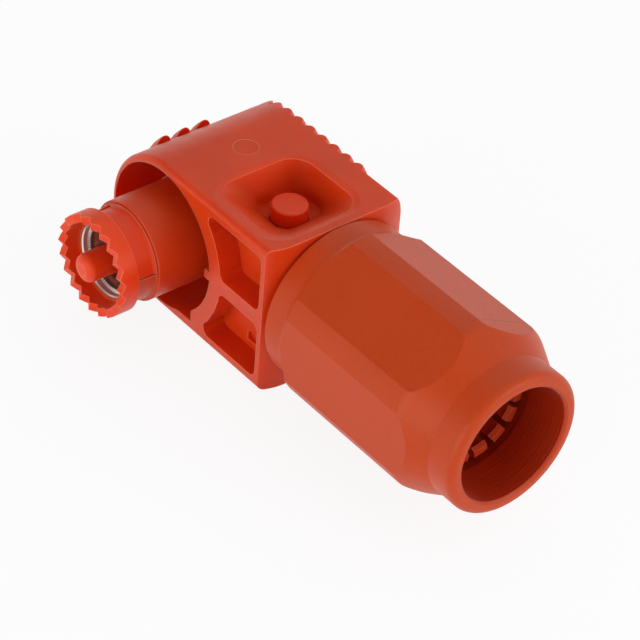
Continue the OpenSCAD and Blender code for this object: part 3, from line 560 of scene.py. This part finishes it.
def seen_directly(tree):
    """1 for rays from the camera, from a gloss or through glass, and 0 for light that falls on a surface."""
    path = tree.nodes.new("ShaderNodeLightPath")
    total = path.outputs["Is Camera Ray"]
    for kind in ("Is Glossy Ray", "Is Transmission Ray"):
        either = tree.nodes.new("ShaderNodeMath")
        either.operation = "MAXIMUM"
        tree.links.new(total, either.inputs[0])
        tree.links.new(path.outputs[kind], either.inputs[1])
        total = either.outputs[0]
    return total


class CONNECTOR_OT_stage(bpy.types.Operator):
    """Build the camera, the lamps, the world and the pale floor"""

    bl_idname = "connector.stage"
    bl_label = "Stage"

    def execute(self, context):
        studio = context.scene.connector_studio
        self.add_camera(context.scene, studio)
        self.add_floor(context.scene)
        self.add_lamps(context.scene, studio)
        self.set_world(context.scene, studio)
        context.scene.view_settings.view_transform = "Standard"
        return {"FINISHED"}

    def add_camera(self, scene, studio):
        azimuth = studio.azimuth
        elevation = studio.elevation
        back = Vector((math.sin(azimuth) * math.cos(elevation), -math.cos(azimuth) * math.cos(elevation),
                       math.sin(elevation)))
        right = Vector((math.cos(azimuth), math.sin(azimuth), 0))
        up = back.cross(right)
        turned_right = math.cos(studio.roll) * right + math.sin(studio.roll) * up
        turned_up = -math.sin(studio.roll) * right + math.cos(studio.roll) * up
        data = bpy.data.cameras.new("camera")
        data.lens = studio.lens
        data.sensor_width = 36
        data.clip_start = 0.01
        camera = bpy.data.objects.new("camera", data)
        camera.matrix_world = Matrix.Translation(Vector(studio.target) + back * studio.distance) @ Matrix(
            (turned_right, turned_up, back)).transposed().to_4x4()
        scene.collection.objects.link(camera)
        scene.camera = camera

    def add_floor(self, scene):
        """The plane that the plug lies on: it touches the nut and just clears the housing's round end."""
        below_housing = 0.03 * MM
        body_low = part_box("housing")[0].z - below_housing
        slope = min((v.co.z - body_low) / v.co.x for v in NODES["gland_nut"].data.vertices)
        bm = bmesh.new()
        bmesh.ops.create_grid(bm, x_segments=1, y_segments=1, size=1.5)
        tilt = Matrix.Rotation(-math.atan(slope), 3, "Y")
        bmesh.ops.rotate(bm, cent=(0, 0, 0), matrix=tilt, verts=bm.verts)
        bmesh.ops.translate(bm, vec=(0, 0, body_low), verts=bm.verts)
        mesh = bpy.data.meshes.new("floor")
        bm.to_mesh(mesh)
        bm.free()
        board = NodeBoard("white_floor")
        matt = board.add("ShaderNodeBsdfDiffuse", {"Color": (FLOOR_GREY, FLOOR_GREY, FLOOR_GREY, 1)})
        thin = board.add("ShaderNodeBsdfDiffuse", {"Color": (FLOOR_SHADE, FLOOR_SHADE, FLOOR_SHADE, 1)})
        white = board.add("ShaderNodeEmission", {"Color": (1, 1, 1, 1), "Strength": FLOOR_GLOW})
        both = board.add("ShaderNodeAddShader")
        board.tree.links.new(thin.outputs[0], both.inputs[0])
        board.tree.links.new(white.outputs[0], both.inputs[1])
        choice = board.add("ShaderNodeMixShader", {"Fac": seen_directly(board.tree)})
        board.tree.links.new(matt.outputs[0], choice.inputs[1])
        board.tree.links.new(both.outputs[0], choice.inputs[2])
        board.tree.links.new(choice.outputs[0], board.output.inputs["Surface"])
        mesh.materials.append(board.material)
        floor = bpy.data.objects.new("floor", mesh)
        scene.collection.objects.link(floor)

    def add_lamps(self, scene, studio):
        """Soft boxes: name, direction from the part, distance, diameter, share of the full light."""
        middle = Vector((25 * MM, 12 * MM, 0))
        for name, direction, distance, size, share in (
                ("front_box", (0.1, -1.0, 0.12), 0.7, 0.6, 0.49),
                ("top_box", (-0.05, 0.5, 1.0), 0.9, 1.6, 0.45),
                ("end_box", (0.9, 0.4, 0.35), 0.8, 0.5, 0.26)):
            data = bpy.data.lights.new(name, "AREA")
            data.shape = "DISK"
            data.size = size
            data.energy = studio.light_level * share * (math.pi * distance) ** 2
            lamp = bpy.data.objects.new(name, data)
            towards = Vector(direction).normalized()
            lamp.location = middle + towards * distance
            lamp.rotation_euler = towards.to_track_quat("Z", "Y").to_euler()
            scene.collection.objects.link(lamp)

    def set_world(self, scene, studio):
        world = bpy.data.worlds.new("studio")
        scene.world = world
        world.use_nodes = True
        tree = world.node_tree
        tree.nodes.clear()
        output = tree.nodes.new("ShaderNodeOutputWorld")
        glow = tree.nodes.new("ShaderNodeBackground")
        glow.inputs["Color"].default_value = (1, 1, 1, 1)
        direction = tree.nodes.new("ShaderNodeTexCoord")
        height = tree.nodes.new("ShaderNodeSeparateXYZ")
        tree.links.new(direction.outputs["Generated"], height.inputs["Vector"])
        room = tree.nodes.new("ShaderNodeMapRange")
        room.interpolation_type = "SMOOTHSTEP"
        room.inputs["From Min"].default_value = WALL_TOP
        room.inputs["From Max"].default_value = CEILING_START
        room.inputs["To Min"].default_value = studio.wall_strength
        room.inputs["To Max"].default_value = studio.ceiling_strength
        tree.links.new(height.outputs["Z"], room.inputs["Value"])
        tree.links.new(room.outputs["Result"], glow.inputs["Strength"])
        tree.links.new(glow.outputs["Background"], output.inputs["Surface"])


class CONNECTOR_OT_moulded_body(bpy.types.Operator):
    """Finish the housing, the crown, the post and the release button"""

    bl_idname = "connector.moulded_body"
    bl_label = "Moulded Body"

    def execute(self, context):
        look = context.scene.connector_plastic
        body = moulded_plastic("moulded_orange", look.body_colour, look.body_roughness, look.edge_round,
                               look.edge_highlight_width, look.light_depth)
        dress(["housing"], body)
        small = moulded_plastic("small_orange", look.small_colour, look.body_roughness, look.edge_round,
                                look.edge_highlight_width, look.light_depth / 10)
        dress(["crown_ring", "release_button"], small)
        post = moulded_plastic("post_orange", look.small_colour, look.body_roughness, look.edge_round,
                               look.edge_highlight_width, look.light_depth / 10, ring=look.pin_mark_radius)
        dress(["touch_guard_post"], post)
        low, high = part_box("release_button")
        middle = (low + high) / 2
        proud = 0.015 * MM
        cap = spun_cap(middle.x, middle.y, look.button_radius, high.z - look.button_rise, high.z + proud,
                       look.button_round)
        to_object("button_cap", cap, small, "button")
        inner = moulded_plastic("inner_orange", scaled(look.body_colour, 0.86), look.body_roughness + 0.05,
                                look.edge_round / 2, look.edge_highlight_width / 2, look.light_depth / 10)
        dress(["barrel_bush", "thrust_washer", "clamp_cage"], inner)
        return {"FINISHED"}


class CONNECTOR_OT_gland_nut(bpy.types.Operator):
    """Finish the gland nut with its spark-eroded grain"""

    bl_idname = "connector.gland_nut"
    bl_label = "Gland Nut"

    def execute(self, context):
        look = context.scene.connector_plastic
        grain = eroded_plastic("eroded_orange", look.nut_colour, look.nut_bore_shade, look.nut_roughness,
                               look.edge_round, look.grain_size, look.parting_place, look.nut_bore_radius)
        dress(["gland_nut"], grain)
        return {"FINISHED"}


class CONNECTOR_OT_threads(bpy.types.Operator):
    """Wind the thread on the spigot and the matching one in the nut"""

    bl_idname = "connector.threads"
    bl_label = "Threads"

    def execute(self, context):
        thread = context.scene.connector_thread
        start = NUT_LOW.x + thread.lead_in
        end = SPIGOT_END - thread.lead_out
        outside = thread_ridge(thread.spigot_radius, thread.height, start, end, thread.pitch,
                               thread.steps, 0)
        to_object("spigot_thread", outside, NODES["housing"].data.materials[0], "plug")
        inside = thread_ridge(thread.bore_radius, -thread.height, start, end, thread.pitch,
                              thread.steps, math.pi)
        to_object("nut_thread", inside, NODES["gland_nut"].data.materials[0], "nut")
        return {"FINISHED"}


class CONNECTOR_OT_contact(bpy.types.Operator):
    """Finish the plated contact, its basket, the crimp barrel and its sleeve"""

    bl_idname = "connector.contact"
    bl_label = "Plated Contact"

    def execute(self, context):
        metal = context.scene.connector_metal
        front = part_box("contact_socket")[0].y
        low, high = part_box("basket_front_ring")
        beyond_ring = 0.12 * MM
        bored = bored_plating("bored_contact", metal.plating_colour, metal.painted_bore_colour, roughness=0.3,
                              lip=front + metal.lip_depth, bore=high.x + beyond_ring)
        along = plated_metal("plated_barrel", metal.plating_colour, metal.plating_roughness)
        dress(["contact_socket", "contact_basket", "basket_rear_ring"], bored)
        dress(["contact_tongue", "crimp_barrel", "reducer_sleeve"], along)
        rolled = rolled_ridges("rolled_ridges", metal.plating_colour, roughness=0.4)
        dress(["basket_front_ring"], rolled)
        ring = to_object("ridged_front_ring",
                         ridged_ring(low.y, high.y, high.x, high.x - metal.ring_wall, metal.ridge_count,
                                     metal.ridge_depth),
                         rolled, "plug")
        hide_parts("basket_front_ring")
        return {"FINISHED"}


class CONNECTOR_OT_small_parts(bpy.types.Operator):
    """Finish the seals and the latch plate, and wind the spring under the button"""

    bl_idname = "connector.small_parts"
    bl_label = "Seals and Latch"

    def execute(self, context):
        dress(["contact_seal", "spigot_seal", "cable_seal"], seal_rubber("seal_rubber"))
        steel = drawn_steel("spring_steel", context.scene.connector_metal.steel_colour)
        dress(["button_spring", "latch_plate"], steel)
        self.add_spring(context.scene.connector_metal.spring_wire, steel)
        return {"FINISHED"}

    def add_spring(self, wire, steel):
        """Winds the coil under the button, the spring that the button's stroke shortens, and gives the coil
        a mesh of its own.
        """
        low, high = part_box("button_spring")
        middle = (low + high) / 2
        radius = (high.x - low.x - wire) / 2
        coil = to_object("wound_spring",
                         wound_coil(middle.x, middle.y, radius, wire, low.z, high.z, turns=5), steel,
                         "plug", smooth_angle=60)
        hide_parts("button_spring")
        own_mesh(coil)


class CONNECTOR_PT_panel(bpy.types.Panel):
    """Lists the steps that dress the connector"""

    bl_idname = "CONNECTOR_PT_panel"
    bl_label = "Power Connector"
    bl_space_type = "VIEW_3D"
    bl_region_type = "UI"
    bl_category = "Connector"

    def draw(self, context):
        for step in STEPS:
            self.layout.operator(step.bl_idname)


SETTINGS = {
    "connector_plastic": MouldedPlasticSettings,
    "connector_metal": PlatedMetalSettings,
    "connector_thread": ThreadSettings,
    "connector_studio": StudioSettings,
}
STEPS = (CONNECTOR_OT_stage, CONNECTOR_OT_moulded_body, CONNECTOR_OT_gland_nut, CONNECTOR_OT_threads,
         CONNECTOR_OT_contact, CONNECTOR_OT_small_parts)
CLASSES = (*SETTINGS.values(), *STEPS, CONNECTOR_PT_panel)


def register():
    for cls in CLASSES:
        bpy.utils.register_class(cls)
    for name, group in SETTINGS.items():
        setattr(bpy.types.Scene, name, bpy.props.PointerProperty(type=group))


def unregister():
    for name in SETTINGS:
        delattr(bpy.types.Scene, name)
    for cls in reversed(CLASSES):
        bpy.utils.unregister_class(cls)


def main():
    register()
    bpy.ops.connector.stage()
    bpy.ops.connector.moulded_body()
    bpy.ops.connector.gland_nut()
    bpy.ops.connector.threads()
    bpy.ops.connector.contact()
    bpy.ops.connector.small_parts()


if __name__ == "__main__":
    main()
